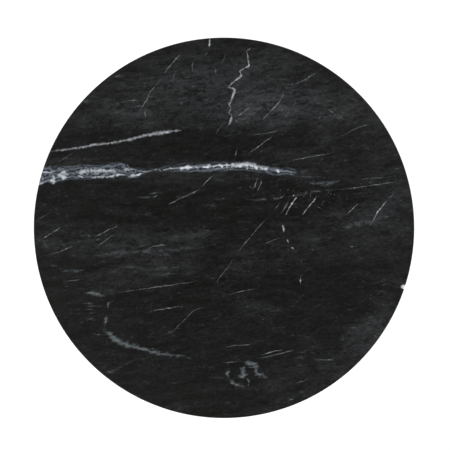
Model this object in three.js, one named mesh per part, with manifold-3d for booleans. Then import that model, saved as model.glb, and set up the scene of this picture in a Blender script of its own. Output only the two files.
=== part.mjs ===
// A round pedestal table: a stone top on a plywood sub-top, a cast spider, a steel column
// and a weighted base with four levelling feet. A tie rod clamps base, column and spider.
// Millimetres, +Z up. The origin is on the floor, on the axis of the column.

import * as THREE from "three";
import { mergeVertices } from "three/addons/utils/BufferGeometryUtils.js";
import Module from "manifold-3d";

const wasm = await Module();
wasm.setup();

// ---- overall sizes ----
const tableHeight = 740;
const topRadius = 305;
const coverRadius = 225;

// ---- clearances ----
const gap = 0.3; // between two pieces that touch
const boltClearance = 0.3; // on the radius, around every bolt, rod and stem
const spigotClearance = 0.3; // on the radius, between a spigot and the tube
const rimClearance = 2; // between the plate's edge and the start of the cover's shoulder
const neckClearance = 0.5; // on the radius, between the tube and the cover or the collar

// ---- stone top and plywood sub-top ----
const topThickness = 20;
const topArris = 1.5;
const subTopInset = 90; // from the stone's edge to the plywood's edge
const subTopThickness = 12;
const subTopChamfer = 3;
const insertRadius = 5;
const insertRoof = 1.7; // plywood left above each insert's hole

// ---- spider ----
const armInset = 25; // from the plywood's edge to the arm's end
const armThickness = 6;
const armRootWidth = 40;
const armEndWidth = 26;
const screwInset = 20; // from the arm's end to its screw
const ribThickness = 6;
const ribRootDepth = 14;
const ribEndDepth = 4;
const ribInset = 42; // from the arm's end to the rib's end
const bossWall = 7; // how far the boss stands out past the tube
const spigotLength = 15;
const spigotLead = 1.5; // chamfer at the mouth of each spigot
const recessFloor = 2; // iron left under the recess, above the boss's underside
const socketRoom = 2; // on the radius, around the tie rod's washers and nuts

// ---- top screws ----
const screwRadius = 3;
const screwTipDrop = 1.5; // from the insert's top down to the screw's tip
const screwHeadHeight = 4;
const screwHeadAcross = 10;
const screwWasherRadius = 7;
const screwWasherThickness = 1.6;

// ---- column ----
const tubeRadius = 38;
const tubeWall = 2;
const seatFlangeWidth = 12; // how far the flange stands out past the tube
const seatFlangeThickness = 8;
const seatSpigotLength = 16.8;

// ---- tie rod ----
const rodRadius = 6;
const rodTopDrop = 1; // from the spider's top face down to the rod's end
const rodTail = 2.8; // how far the rod stands out of the bottom nut
const rodNutAcross = 19;
const rodNutHeight = 10;
const rodTopWasherRadius = 12;
const rodBottomWasherRadius = 18;
const rodWasherThickness = 2.5;

// ---- base plate and cover ----
const plateThickness = 12;
const plateCounterboreDepth = 6;
const plateChamfer = 1.5;
const coverWall = 2;
const coverShoulder = 12; // outer radius of the rounded shoulder
const coverSeatWidth = 8; // the flat ring that rests on the plate
const coverLift = 5; // from the floor to the cover's lip
const coverRise = 26; // where the slope starts to sweep up, above the seat
const coverFlareHeight = 62; // from the seat to the top of the neck
const coverFlareReach = 78; // from the seat inwards to the point that the slope aims at
const coverNeckPull = 44; // how far down the neck the sweep starts to turn upright
const collarWidth = 5;
const collarHeight = 9;
const collarArris = 1.2;
const collarDrop = 3; // how far the collar reaches down around the neck
const neckStraight = 2; // upright stretch of the neck below the collar

// ---- levelling feet ----
const footInset = 31; // from the plate's edge to each foot's axis
const padRadius = 16;
const padHeight = 8;
const padSocketFloor = 3;
const padChamfer = 2;
const neckRadius = 4;
const stemRadius = 4;
const stemAcross = 13;
const stemHexHeight = 5;
const stemProud = 3.7; // how far the stem stands out above the plate
const lockNutHeight = 4;

// ---- how finely round pieces are faceted ----
const wideSides = 96;
const coverSides = 64;
const roundSides = 48;
const smallSides = 20;
const filletSteps = 4;
const sweepSteps = 9;

// ---- radii and heights that follow ----
const corners = [0, 1, 2, 3];
const quarter = Math.PI / 2;

const padTop = padHeight;
const hexBottom = padTop + gap;
const hexTop = hexBottom + stemHexHeight;
const lockNutBottom = hexTop + gap;
const lockNutTop = lockNutBottom + lockNutHeight;
const plateBottom = lockNutTop + gap;
const plateTop = plateBottom + plateThickness;
const coverSeatHeight = plateTop + gap;

const topSurface = tableHeight;
const topUnderside = topSurface - topThickness;
const subTopTop = topUnderside - gap;
const subTopBottom = subTopTop - subTopThickness;
const spiderTop = subTopBottom - gap;
const armBottom = spiderTop - armThickness;
const bossBottom = armBottom - ribRootDepth; // the ribs run out flush with the boss
const recessBottom = bossBottom + recessFloor;

const subTopRadius = topRadius - subTopInset;
const armReach = subTopRadius - armInset;
const screwCircle = armReach - screwInset;
const insertLength = subTopThickness - insertRoof - gap;

const rodNutCorner = rodNutAcross / Math.sqrt(3);
const recessRadius = Math.max(rodTopWasherRadius, rodNutCorner) + socketRoom;
const counterboreRadius = Math.max(rodBottomWasherRadius, rodNutCorner) + socketRoom;
const tubeBore = tubeRadius - tubeWall;
const spigotRadius = tubeBore - spigotClearance;
const bossRadius = tubeRadius + bossWall;
const seatFlangeBottom = plateTop + gap;
const seatFlangeTop = seatFlangeBottom + seatFlangeThickness;
const tubeBottom = seatFlangeTop + gap;
const tubeTop = bossBottom - gap;

const shoulderRadius = coverRadius - coverShoulder;
const plateRadius = shoulderRadius - rimClearance;
const footCircle = plateRadius - footInset;
const neckBore = tubeRadius + neckClearance;
const neckTop = coverSeatHeight + coverFlareHeight;

// ---- joining and cutting ----

function toSolid(geometry) {
  const bare = geometry.clone();
  bare.deleteAttribute("normal");
  bare.deleteAttribute("uv");
  const merged = mergeVertices(bare, 1e-4);
  const mesh = new wasm.Mesh({
    numProp: 3,
    vertProperties: new Float32Array(merged.attributes.position.array),
    triVerts: new Uint32Array(merged.index.array),
  });
  return new wasm.Manifold(mesh);
}

function toGeometry(solid) {
  const mesh = solid.getMesh();
  const geometry = new THREE.BufferGeometry();
  geometry.setAttribute("position", new THREE.BufferAttribute(mesh.vertProperties, 3));
  geometry.setIndex(new THREE.BufferAttribute(mesh.triVerts, 1));
  const flat = geometry.toNonIndexed();
  flat.computeVertexNormals();
  return flat;
}

function cut(body, ...tools) {
  const solid = tools.reduce((left, tool) => left.subtract(toSolid(tool)), toSolid(body));
  return toGeometry(solid);
}

function join(...bodies) {
  const solid = bodies.map(toSolid).reduce((sum, body) => sum.add(body));
  return toGeometry(solid);
}

// ---- shapes that many pieces share ----

// Turns a profile of [radius, height] points, listed anticlockwise, about the Z axis.
function turned(profile, sides) {
  const points = profile.map(([radius, height]) => new THREE.Vector2(radius, height));
  return new THREE.LatheGeometry(points, sides).rotateX(quarter);
}

// A disc from z = low to high, with its two edges chamfered.
function disc(radius, low, high, sides, lowChamfer = 0, highChamfer = 0) {
  const profile = [[0, low], [radius - lowChamfer, low]];
  if (lowChamfer) profile.push([radius, low + lowChamfer]);
  if (highChamfer) profile.push([radius, high - highChamfer]);
  profile.push([radius - highChamfer, high], [0, high]);
  return turned(profile, sides);
}

function ring(bore, radius, low, high, sides) {
  const profile = [[bore, low], [radius, low], [radius, high], [bore, high], [bore, low]];
  return turned(profile, sides);
}

// A cutting cylinder along Z at (x, y).
function drill(radius, low, high, x = 0, y = 0, sides = smallSides) {
  return disc(radius, low, high, sides).translate(x, y, 0);
}

// A hexagon prism along Z, sized across its flats.
function hexagon(across, low, high) {
  const cornerRadius = across / Math.sqrt(3);
  const outline = new THREE.Shape();
  for (let corner = 0; corner < 6; corner += 1) {
    const angle = (corner * Math.PI) / 3;
    const x = cornerRadius * Math.cos(angle);
    const y = cornerRadius * Math.sin(angle);
    if (corner === 0) outline.moveTo(x, y);
    else outline.lineTo(x, y);
  }
  outline.closePath();
  const settings = { depth: high - low, bevelEnabled: false };
  return new THREE.ExtrudeGeometry(outline, settings).translate(0, 0, low);
}

function hexagonNut(across, bore, low, high) {
  return cut(hexagon(across, low, high), drill(bore, low - 1, high + 1));
}

// The place of one of four points on a circle; the first stands at the given angle.
function onCircle(radius, index, firstAngle) {
  const angle = firstAngle + index * quarter;
  return [radius * Math.cos(angle), radius * Math.sin(angle)];
}

const screwPlaces = corners.map((index) => onCircle(screwCircle, index, 0));
const footPlaces = corners.map((index) => onCircle(footCircle, index, quarter / 2));

// A profile line shifted to its left by a distance, with mitred corners.
function shifted(line, distance) {
  const normals = line.slice(1).map(([x, y], index) => {
    const [lastX, lastY] = line[index];
    const length = Math.hypot(x - lastX, y - lastY);
    return [-(y - lastY) / length, (x - lastX) / length];
  });
  return line.map(([x, y], index) => {
    const before = normals[Math.max(index - 1, 0)];
    const after = normals[Math.min(index, normals.length - 1)];
    const sumX = before[0] + after[0];
    const sumY = before[1] + after[1];
    const share = (2 * distance) / (sumX * sumX + sumY * sumY);
    return [x + sumX * share, y + sumY * share];
  });
}

// ---- finishes ----

const finishes = {
  marble: { color: 0x1c1e1e, roughness: 0.35, metalness: 0 },
  plywood: { color: 0xb48f60, roughness: 0.7, metalness: 0 },
  brass: { color: 0xb08d45, roughness: 0.35, metalness: 1 },
  castIron: { color: 0x1b1b1c, roughness: 0.6, metalness: 0 },
  zincPlate: { color: 0xb4b7b8, roughness: 0.35, metalness: 1 },
  blackCoat: { color: 0x141415, roughness: 0.5, metalness: 0 },
  bareSteel: { color: 0x5d5e60, roughness: 0.5, metalness: 1 },
  nylon: { color: 0x161616, roughness: 0.6, metalness: 0 },
};

const table = new THREE.Group();

function piece(name, geometry, finish, place = [0, 0]) {
  const mesh = new THREE.Mesh(geometry, new THREE.MeshStandardMaterial(finishes[finish]));
  mesh.name = name;
  mesh.position.set(place[0], place[1], 0);
  table.add(mesh);
}

// ---- the top ----

function marbleTop() {
  return disc(topRadius, topUnderside, topSurface, wideSides, topArris, topArris);
}

function subTop() {
  const holeRadius = insertRadius + gap;
  const holeTop = subTopBottom + insertLength + gap;
  const holes = screwPlaces.map(([x, y]) => drill(holeRadius, subTopBottom - 1, holeTop, x, y));
  const board = disc(subTopRadius, subTopBottom, subTopTop, wideSides, subTopChamfer, 0);
  return cut(board, ...holes);
}

function threadedInsert() {
  const bore = screwRadius + boltClearance;
  return ring(bore, insertRadius, subTopBottom, subTopBottom + insertLength, smallSides);
}

// ---- the spider ----

// One arm along +X: a flat bar that tapers to a rounded end, with a rib under it.
function spiderArm() {
  const endRadius = armEndWidth / 2;
  const outline = new THREE.Shape();
  outline.moveTo(0, -armRootWidth / 2);
  outline.lineTo(armReach - endRadius, -endRadius);
  outline.absarc(armReach - endRadius, 0, endRadius, -quarter, quarter, false);
  outline.lineTo(0, armRootWidth / 2);
  outline.closePath();
  const barSettings = { depth: armThickness, bevelEnabled: false, curveSegments: 8 };
  const bar = new THREE.ExtrudeGeometry(outline, barSettings).translate(0, 0, armBottom);

  const side = new THREE.Shape();
  const sink = armThickness / 2; // the rib runs up into the bar
  side.moveTo(0, armBottom + sink);
  side.lineTo(0, bossBottom);
  side.lineTo(bossRadius, bossBottom);
  side.lineTo(armReach - ribInset, armBottom - ribEndDepth);
  side.lineTo(armReach - ribInset, armBottom + sink);
  side.closePath();
  const ribSettings = { depth: ribThickness, bevelEnabled: false };
  const rib = new THREE.ExtrudeGeometry(side, ribSettings);
  rib.rotateX(quarter).translate(0, ribThickness / 2, 0);
  return join(bar, rib);
}

function spider() {
  const boss = turned([
    [0, bossBottom - spigotLength],
    [spigotRadius - spigotLead, bossBottom - spigotLength],
    [spigotRadius, bossBottom - spigotLength + spigotLead],
    [spigotRadius, bossBottom],
    [bossRadius, bossBottom],
    [bossRadius, spiderTop],
    [0, spiderTop],
  ], roundSides);
  const arms = corners.map((index) => spiderArm().rotateZ(index * quarter));
  const holeRadius = screwRadius + boltClearance;
  const holes = screwPlaces.map(([x, y]) => drill(holeRadius, armBottom - 1, spiderTop + 1, x, y));
  const recess = drill(recessRadius, recessBottom, spiderTop + 1);
  const bore = drill(rodRadius + boltClearance, bossBottom - spigotLength - 1, spiderTop);
  return cut(join(boss, ...arms), recess, bore, ...holes);
}

const screwWasherTop = armBottom - gap;
const screwWasherBottom = screwWasherTop - screwWasherThickness;
const screwHeadTop = screwWasherBottom - gap;

function screwWasher() {
  const bore = screwRadius + boltClearance;
  return ring(bore, screwWasherRadius, screwWasherBottom, screwWasherTop, smallSides);
}

function topScrew() {
  const head = hexagon(screwHeadAcross, screwHeadTop - screwHeadHeight, screwHeadTop);
  const sink = screwHeadHeight / 2;
  const tip = subTopBottom + insertLength - screwTipDrop;
  const shank = drill(screwRadius, screwHeadTop - sink, tip);
  return join(head, shank);
}

// ---- the column and its tie rod ----

function columnTube() {
  return ring(tubeBore, tubeRadius, tubeBottom, tubeTop, roundSides);
}

function columnSeat() {
  const bore = rodRadius + boltClearance;
  const flangeRadius = tubeRadius + seatFlangeWidth;
  const spigotTop = seatFlangeTop + seatSpigotLength;
  return turned([
    [bore, seatFlangeBottom],
    [flangeRadius, seatFlangeBottom],
    [flangeRadius, seatFlangeTop],
    [spigotRadius, seatFlangeTop],
    [spigotRadius, spigotTop - spigotLead],
    [spigotRadius - spigotLead, spigotTop],
    [bore, spigotTop],
    [bore, seatFlangeBottom],
  ], roundSides);
}

const counterboreTop = plateBottom + plateCounterboreDepth;
const bottomWasherTop = counterboreTop - gap;
const bottomWasherBottom = bottomWasherTop - rodWasherThickness;
const bottomNutTop = bottomWasherBottom - gap;
const bottomNutBottom = bottomNutTop - rodNutHeight;
const topWasherBottom = recessBottom + gap;
const topWasherTop = topWasherBottom + rodWasherThickness;
const topNutBottom = topWasherTop + gap;
const rodBore = rodRadius + boltClearance;

function tieRod() {
  return drill(rodRadius, bottomNutBottom - rodTail, spiderTop - rodTopDrop);
}

// ---- the base ----

function basePlate() {
  const plate = disc(plateRadius, plateBottom, plateTop, wideSides, plateChamfer, plateChamfer);
  const bore = drill(rodBore, plateBottom - 1, plateTop + 1);
  const counterbore = drill(
    counterboreRadius, plateBottom - 1, counterboreTop, 0, 0, roundSides,
  );
  const holeRadius = stemRadius + boltClearance;
  const holes = footPlaces.map(([x, y]) => drill(holeRadius, plateBottom - 1, plateTop + 1, x, y));
  return cut(plate, bore, counterbore, ...holes);
}

// The cover's inner line, from the lip up the skirt, round the shoulder, in along the seat
// on the plate's rim, and then in a sweep up to the neck.
function coverInnerLine() {
  const filletRadius = coverShoulder - coverWall;
  const filletHeight = coverSeatHeight - filletRadius;
  const line = [[coverRadius - coverWall, coverLift]];
  for (let step = 0; step <= filletSteps; step += 1) {
    const angle = (step / filletSteps) * quarter;
    const radius = shoulderRadius + filletRadius * Math.cos(angle);
    line.push([radius, filletHeight + filletRadius * Math.sin(angle)]);
  }
  const slopeStart = shoulderRadius - coverSeatWidth;
  const sweepTop = neckTop - collarDrop - neckStraight;
  const sweep = new THREE.CubicBezierCurve(
    new THREE.Vector2(slopeStart, coverSeatHeight),
    new THREE.Vector2(slopeStart - coverFlareReach, coverSeatHeight + coverRise),
    new THREE.Vector2(neckBore, sweepTop - coverNeckPull),
    new THREE.Vector2(neckBore, sweepTop),
  );
  sweep.getPoints(sweepSteps).forEach(({ x, y }) => line.push([x, y]));
  line.push([neckBore, neckTop]);
  return line;
}

function baseCover() {
  const inner = coverInnerLine();
  const outer = shifted(inner, -coverWall);
  return turned([...outer, ...inner.toReversed(), outer[0]], coverSides);
}

function columnCollar() {
  const bore = neckBore + coverWall + gap;
  const radius = bore + collarWidth;
  const low = neckTop - collarDrop;
  const top = low + collarHeight;
  const step = neckTop + gap;
  return turned([
    [bore, low],
    [radius - collarArris, low],
    [radius, low + collarArris],
    [radius, top - collarArris],
    [radius - collarArris, top],
    [neckBore, top],
    [neckBore, step],
    [bore, step],
    [bore, low],
  ], coverSides);
}

// ---- the levelling feet, drawn about their own axis ----

function footPad() {
  const socket = neckRadius + boltClearance;
  return turned([
    [0, 0],
    [padRadius - padChamfer / 2, 0],
    [padRadius, padChamfer / 2],
    [padRadius, padTop - padChamfer],
    [padRadius - padChamfer, padTop],
    [socket, padTop],
    [socket, padSocketFloor],
    [0, padSocketFloor],
  ], smallSides);
}

function footStem() {
  const neck = drill(neckRadius, padSocketFloor + gap, hexTop);
  const hex = hexagon(stemAcross, hexBottom, hexTop);
  const shank = drill(stemRadius, hexTop - stemHexHeight / 2, plateTop + stemProud);
  return join(neck, hex, shank);
}

function footLockNut() {
  return hexagonNut(stemAcross, stemRadius + boltClearance, lockNutBottom, lockNutTop);
}

// ---- the table, from the top down ----

piece("marble_top", marbleTop(), "marble");
piece("sub_top", subTop(), "plywood");
screwPlaces.forEach((place, index) => {
  const number = index + 1;
  piece(`threaded_insert_${number}`, threadedInsert(), "brass", place);
  piece(`spider_washer_${number}`, screwWasher(), "zincPlate", place);
  piece(`spider_screw_${number}`, topScrew(), "zincPlate", place);
});
piece("spider", spider(), "castIron");

piece("column_tube", columnTube(), "blackCoat");
piece("column_seat", columnSeat(), "bareSteel");
piece("tie_rod", tieRod(), "zincPlate");
const topWasher = ring(rodBore, rodTopWasherRadius, topWasherBottom, topWasherTop, smallSides);
piece("tie_rod_top_washer", topWasher, "zincPlate");
const topNut = hexagonNut(rodNutAcross, rodBore, topNutBottom, topNutBottom + rodNutHeight);
piece("tie_rod_top_nut", topNut, "zincPlate");
const bottomWasher = ring(
  rodBore, rodBottomWasherRadius, bottomWasherBottom, bottomWasherTop, smallSides,
);
piece("tie_rod_bottom_washer", bottomWasher, "zincPlate");
const bottomNut = hexagonNut(rodNutAcross, rodBore, bottomNutBottom, bottomNutTop);
piece("tie_rod_bottom_nut", bottomNut, "zincPlate");

piece("base_plate", basePlate(), "bareSteel");
piece("base_cover", baseCover(), "blackCoat");
piece("column_collar", columnCollar(), "blackCoat");
footPlaces.forEach((place, index) => {
  const number = index + 1;
  piece(`foot_pad_${number}`, footPad(), "nylon", place);
  piece(`foot_stem_${number}`, footStem(), "zincPlate", place);
  piece(`foot_lock_nut_${number}`, footLockNut(), "zincPlate", place);
});

export default table;
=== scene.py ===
"""A round pedestal table: black marble on a powder-coated column and a weighted spun base."""

import functools
import math

import bmesh
import bpy
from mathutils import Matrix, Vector


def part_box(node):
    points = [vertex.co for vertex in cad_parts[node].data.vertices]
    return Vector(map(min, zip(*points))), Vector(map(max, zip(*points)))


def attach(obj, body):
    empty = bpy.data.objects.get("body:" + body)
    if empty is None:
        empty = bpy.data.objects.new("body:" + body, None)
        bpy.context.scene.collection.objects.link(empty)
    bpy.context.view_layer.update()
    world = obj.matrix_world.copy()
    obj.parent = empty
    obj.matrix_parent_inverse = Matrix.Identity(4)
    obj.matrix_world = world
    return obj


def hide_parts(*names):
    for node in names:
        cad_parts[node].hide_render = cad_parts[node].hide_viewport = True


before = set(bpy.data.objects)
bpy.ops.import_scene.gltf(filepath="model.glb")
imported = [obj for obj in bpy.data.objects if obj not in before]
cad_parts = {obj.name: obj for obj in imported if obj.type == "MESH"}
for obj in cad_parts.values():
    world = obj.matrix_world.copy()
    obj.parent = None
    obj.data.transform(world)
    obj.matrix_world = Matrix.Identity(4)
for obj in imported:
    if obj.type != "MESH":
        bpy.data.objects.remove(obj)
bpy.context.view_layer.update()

MM = 0.001
TURN = 2 * math.pi
ON_AXIS = 1e-6
FIT = 0.3 * MM
SCENE = bpy.context.scene


# ---------------------------------------------------------------- shader maths

def plug(tree, value, socket):
    """Puts a wire or a constant on a socket."""
    if isinstance(value, Wire):
        tree.links.new(value.socket, socket)
    elif socket.type == "RGBA" and len(value) == 3:
        socket.default_value = (*value, 1.0)
    else:
        socket.default_value = value


class Wire:
    """A value that flows through some nodes. Arithmetic on it adds Math nodes."""

    def __init__(self, nodes, socket):
        self.nodes = nodes
        self.socket = socket

    def _math(self, operation, *values):
        return self.nodes.node("ShaderNodeMath", {"operation": operation}, dict(enumerate(values)))

    def __add__(self, other):
        return self._math("ADD", self, other)

    __radd__ = __add__

    def __sub__(self, other):
        return self._math("SUBTRACT", self, other)

    def __rsub__(self, other):
        return self._math("SUBTRACT", other, self)

    def __mul__(self, other):
        return self._math("MULTIPLY", self, other)

    __rmul__ = __mul__

    def __abs__(self):
        return self._math("ABSOLUTE", self)

    def most(self, other):
        return self._math("MAXIMUM", self, other)

    def least(self, other):
        return self._math("MINIMUM", self, other)

    def fold(self, width):
        """Zigzags between 0 and a width."""
        return self._math("PINGPONG", self, width)

    def times_plus(self, factor, addend):
        return self._math("MULTIPLY_ADD", self, factor, addend)


def tone(red, green, blue):
    """A screen colour, 0 to 255, as linear light."""
    def linear(channel):
        share = channel / 255
        return share / 12.92 if share <= 0.04045 else ((share + 0.055) / 1.055) ** 2.4
    return (linear(red), linear(green), linear(blue))


class Nodes:
    """A tree of nodes, built by expressions."""

    def __init__(self, tree):
        self.tree = tree
        tree.nodes.clear()

    def node(self, kind, settings, inputs, output=0):
        """Any node: its settings first, then the values or wires of its sockets."""
        made = self.tree.nodes.new(kind)
        for name, value in settings.items():
            if name == "points":
                bend_curve(made, value)
            else:
                setattr(made, name, value)
        for name, value in inputs.items():
            plug(self.tree, value, made.inputs[name])
        return Wire(self, made.outputs[output]) if made.outputs else None

    def vector(self, operation, first, second):
        inputs = {0: first, "Scale" if operation == "SCALE" else 1: second}
        return self.node("ShaderNodeVectorMath", {"operation": operation}, inputs)

    def axes(self, place):
        """The x, y and z of a place."""
        parts = self.node("ShaderNodeSeparateXYZ", {}, {0: place}).socket.node
        return [Wire(self, socket) for socket in parts.outputs]

    def noise(self, place, scale, detail=2.0, roughness=0.5, output="Fac"):
        """Noise of a scale, or of one scale for each axis."""
        if isinstance(scale, tuple):
            place, scale = self.vector("MULTIPLY", place, scale), 1.0
        inputs = {"Vector": place, "Scale": scale, "Detail": detail, "Roughness": roughness}
        return self.node("ShaderNodeTexNoise", {}, inputs, output)

    def cells(self, place, scale, feature="F1"):
        inputs = {"Vector": place, "Scale": scale}
        return self.node("ShaderNodeTexVoronoi", {"feature": feature}, inputs, "Distance")

    def stirred(self, place, scale, amount, detail=2.0):
        """A place pushed about by noise, so that what is drawn there wanders."""
        push = self.noise(place, scale, detail, output="Color")
        centred = self.vector("SUBTRACT", push, (0.5, 0.5, 0.5))
        return self.vector("ADD", place, self.vector("SCALE", centred, amount))

    def leaned(self, place, degrees, height):
        """A place for strokes that lie at an angle and are flattened to a height."""
        inputs = {"Vector": place, "Rotation": (0.0, 0.0, math.radians(degrees))}
        inputs["Scale"] = (1.0, height, 1.0)
        return self.node("ShaderNodeMapping", {"vector_type": "TEXTURE"}, inputs)

    def span(self, value, low, high, out_low=0.0, out_high=1.0, smooth=False):
        """Maps low..high of a value to out_low..out_high, and clamps it there."""
        settings = {"interpolation_type": "SMOOTHSTEP" if smooth else "LINEAR"}
        inputs = {"Value": value, "From Min": low, "From Max": high}
        inputs.update({"To Min": out_low, "To Max": out_high})
        return self.node("ShaderNodeMapRange", settings, inputs)

    def mix(self, factor, first, second):
        """A colour between two colours."""
        settings = {"data_type": "RGBA"}
        return self.node("ShaderNodeMix", settings, {0: factor, 6: first, 7: second}, 2)


class Finish(Nodes):
    """One material, a slot name that nothing here uses, and its colour so far."""

    def __init__(self, name, slot=None, **constants):
        self.material = bpy.data.materials.new(name)
        self.material.use_nodes = True
        super().__init__(self.material.node_tree)
        self.slot = slot
        shader = self.node("ShaderNodeBsdfPrincipled", {}, {})
        self.node("ShaderNodeOutputMaterial", {}, {"Surface": shader})
        self.sockets = shader.socket.node.inputs
        self.set(**constants)
        self.place = self.node("ShaderNodeTexCoord", {}, {}, "Object")

    def set(self, **values):
        """Sets the shader's sockets, named with underscores for spaces."""
        for name, value in values.items():
            plug(self.tree, value, self.sockets[name.replace("_", " ")])

    def blend(self, share, first, second):
        """Starts the colour between two screen colours."""
        self.colour = self.mix(share, tone(*first), tone(*second))

    def lay(self, cover, *shade):
        """Lays a screen colour over the colour so far."""
        self.colour = self.mix(cover, self.colour, tone(*shade))

    def finished(self, roughness, height, strength, depth):
        """Puts the colour on the shader, with its roughness and its relief."""
        inputs = {"Height": height, "Strength": strength, "Distance": depth}
        relief = self.node("ShaderNodeBump", {}, inputs)
        self.set(Base_Color=self.colour, Roughness=roughness, Normal=relief)
        return self


def bend_curve(node, points):
    """Lays a Float Curve in straight runs through points that lie from 0 to 1."""
    curve = node.mapping.curves[0]
    while len(curve.points) < len(points):
        curve.points.new(0.5, 0.5)
    for point, (x, y) in zip(curve.points, points):
        point.location = (x, y)
        point.handle_type = "VECTOR"
    node.mapping.update()


# ---------------------------------------------------------------- mesh building

def rounded(corners, steps=4):
    """A profile of (radius, height, fillet) corners as (radius, height) points."""
    line = []
    last = len(corners) - 1
    for index, (radius, height, fillet) in enumerate(corners):
        here = Vector((radius, height))
        if not fillet or index in (0, last):
            line.append(here)
            continue
        before = (Vector(corners[index - 1][:2]) - here).normalized()
        after = (Vector(corners[index + 1][:2]) - here).normalized()
        half = before.angle(after) / 2
        middle = here + (before + after).normalized() * (fillet / math.sin(half))
        first = here + before * (fillet / math.tan(half)) - middle
        final = here + after * (fillet / math.tan(half)) - middle
        for step in range(steps + 1):
            spoke = first.lerp(final, step / steps).normalized() * fillet
            line.append(middle + spoke)
    return [tuple(point) for point in line]


def hoop(radius, height, sides):
    """One ring of points, or one point where the radius is nothing."""
    if not callable(radius) and radius < ON_AXIS:
        return [(0, 0, height)]
    points = []
    for side in range(sides):
        angle = side * TURN / sides
        reach = radius(angle) if callable(radius) else radius
        level = height(angle) if callable(height) else height
        points.append((reach * math.cos(angle), reach * math.sin(angle), level))
    return points


def skin(name, sides, hoops, closed=False):
    """A surface over a stack of hoops. Each is a radius and a height, as numbers or as
    functions of the angle, and a radius of nothing closes an end."""
    work = bmesh.new()
    rows = [[work.verts.new(point) for point in hoop(*pair, sides)] for pair in hoops]
    pairs = list(zip(rows, rows[1:]))
    if closed:
        pairs.append((rows[-1], rows[0]))
    for low, high in pairs:
        count = max(len(low), len(high))
        for side in range(count):
            beside = (side + 1) % count
            if len(low) == 1:
                work.faces.new((low[0], high[beside], high[side]))
            elif len(high) == 1:
                work.faces.new((low[side], low[beside], high[0]))
            else:
                work.faces.new((low[side], low[beside], high[beside], high[side]))
    bmesh.ops.recalc_face_normals(work, faces=work.faces)
    mesh = bpy.data.meshes.new(name)
    work.to_mesh(mesh)
    work.free()
    return smoothed(mesh)


def smoothed(mesh, crease=35):
    mesh.polygons.foreach_set("use_smooth", [True] * len(mesh.polygons))
    mesh.set_sharp_from_angle(angle=math.radians(crease))
    return mesh


def turned(name, corners, sides, closed=False, steps=4):
    """A turned piece from a profile of (radius, height, fillet) corners."""
    return skin(name, sides, rounded(corners, steps), closed)


def ring(name, bore, outside, sides, soft, steps=4):
    """A turned ring: the profile of its outside, from its bore's low end to its high end."""
    low, high = outside[0][1], outside[-1][1]
    corners = [(bore, (low + high) / 2, 0), (bore, low, soft), *outside, (bore, high, soft)]
    return turned(name, corners, sides, closed=True, steps=steps)


def washer(name, bore, radius, low, high):
    arris = 0.2 * MM
    return ring(name, bore, [(radius, low, 2 * arris), (radius, high, arris)], 48, arris)


def hexagon_reach(across):
    """The distance from the axis to a hexagon's side, by angle; a corner is at 0."""
    sixth = TURN / 6
    return lambda angle: across / 2 / math.cos(angle % sixth - sixth / 2)


def hexagon_hoops(across, low, high):
    """The two edges of a hexagon whose corners are cut back at 30 degrees."""
    reach = hexagon_reach(across)
    land = across / 2 * 0.97
    slope = math.tan(math.radians(30))

    def drop(angle):
        return (reach(angle) - land) * slope
    return [(land, low), (reach, lambda angle: low + drop(angle)),
            (reach, lambda angle: high - drop(angle)), (land, high)]


def nut(name, across, bore, low, high):
    """A hexagon nut with both faces cut back and its bore countersunk."""
    sides = 72
    sink = 0.6 * MM
    hoops = [(bore, low + sink), (bore + sink, low), *hexagon_hoops(across, low, high),
             (bore + sink, high), (bore, high - sink)]
    return skin(name, sides, hoops, closed=True)


def thread_hoops(radius, pitch, low, high):
    """A right-hand thread cut into a rod, with its ends run out."""
    rows_per_turn = 8
    depth = 0.6 * pitch
    rows = round((high - low) / pitch * rows_per_turn)
    hoops = []
    for row in range(rows + 1):
        height = low + (high - low) * row / rows
        run_out = min(1.0, 2 * row / rows_per_turn, 2 * (rows - row) / rows_per_turn)

        def reach(angle, height=height, run_out=run_out):
            phase = (height / pitch - angle / TURN) % 1
            valley = min(1.0, max(0.0, 1.25 * (1 - abs(2 * phase - 1)) - 0.1))
            return radius - depth * valley * run_out
        hoops.append((reach, height))
    return hoops


def offset(line, distance):
    """A profile line moved to its left, with mitred corners."""
    points = [Vector(point) for point in line]
    normals = []
    for here, there in zip(points, points[1:]):
        run = (there - here).normalized()
        normals.append(Vector((-run.y, run.x)))
    moved = []
    for index, point in enumerate(points):
        both = normals[max(index - 1, 0)] + normals[min(index, len(normals) - 1)]
        moved.append(point + both * (2 * distance / both.length_squared))
    return [tuple(point) for point in moved]


def placed(name, data, at=(0, 0)):
    """A new object in the scene."""
    thing = bpy.data.objects.new(name, data)
    SCENE.collection.objects.link(thing)
    thing.location = (*at, 0)
    return thing


def stand(name, mesh, finish, node, at=(0, 0), body="frame"):
    """Puts a finished mesh in the scene, in place of its CAD node."""
    piece = placed(name, mesh, at)
    if not mesh.materials:
        mesh.materials.append(finish.material)
    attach(piece, body)
    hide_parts(node)


def applied(piece):
    """Makes a piece's modifiers part of its mesh."""
    bpy.context.view_layer.update()
    seen = piece.evaluated_get(bpy.context.evaluated_depsgraph_get())
    mesh = bpy.data.meshes.new_from_object(seen)
    piece.modifiers.clear()
    piece.data = mesh
    return mesh


def drilled(mesh, places, radius, low, high):
    """A mesh with round holes cut through it along Z."""
    sides = 32
    blank = placed("blank", mesh)
    corners = [(0, low, 0), (radius, low, 0), (radius, high, 0), (0, high, 0)]
    drills = [placed("drill", turned("drill", corners, sides), place) for place in places]
    for drill in drills:
        cut = blank.modifiers.new("hole", "BOOLEAN")
        cut.object = drill
        cut.operation = "DIFFERENCE"
        cut.solver = "EXACT"
    result = applied(blank)
    for helper in (*drills, blank):
        bpy.data.objects.remove(helper)
    return smoothed(result)


# ---------------------------------------------------------------- sizes from the frame

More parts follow.
